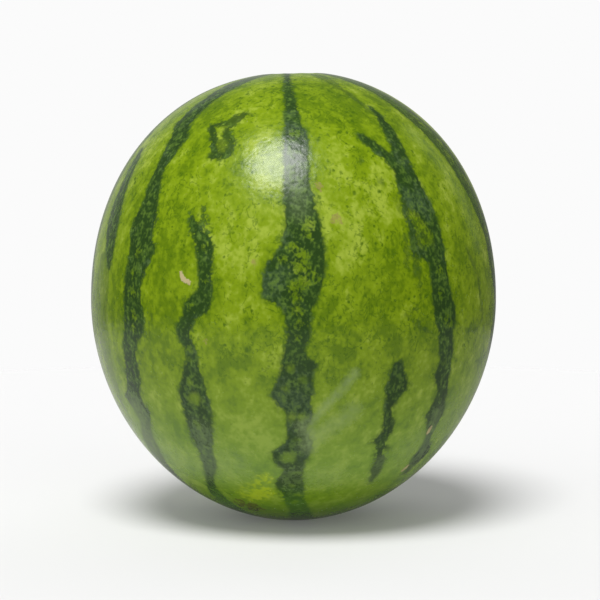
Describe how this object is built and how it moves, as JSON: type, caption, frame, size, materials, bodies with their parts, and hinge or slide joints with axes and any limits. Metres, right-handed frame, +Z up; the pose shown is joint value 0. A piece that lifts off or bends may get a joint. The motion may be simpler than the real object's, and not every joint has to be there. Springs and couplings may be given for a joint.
{
  "type": "watermelon",
  "caption": "Whole watermelon, slightly taller than wide, with a small stem basin and dry stub on top and a blossom scar below; stands on a small flat spot.",
  "frame": {"origin": "centre of the small flat spot at the foot, which the fruit rests on", "axes": "+Z up, from the blossom end to the stem end; -Y faces the picture's camera, and +X is to its right"},
  "size_m": [0.22, 0.22, 0.2411],
  "materials": {
    "rind": "waxy semi-gloss rind, yellow-green with ragged dark green stripes from stem to blossom end, and fine darker veins and mottling between them; the stub and the blossom scar are dry tan-brown cork"
  },
  "bodies": {
    "root": {"fruit": "rind"}
  },
  "joints": []
}
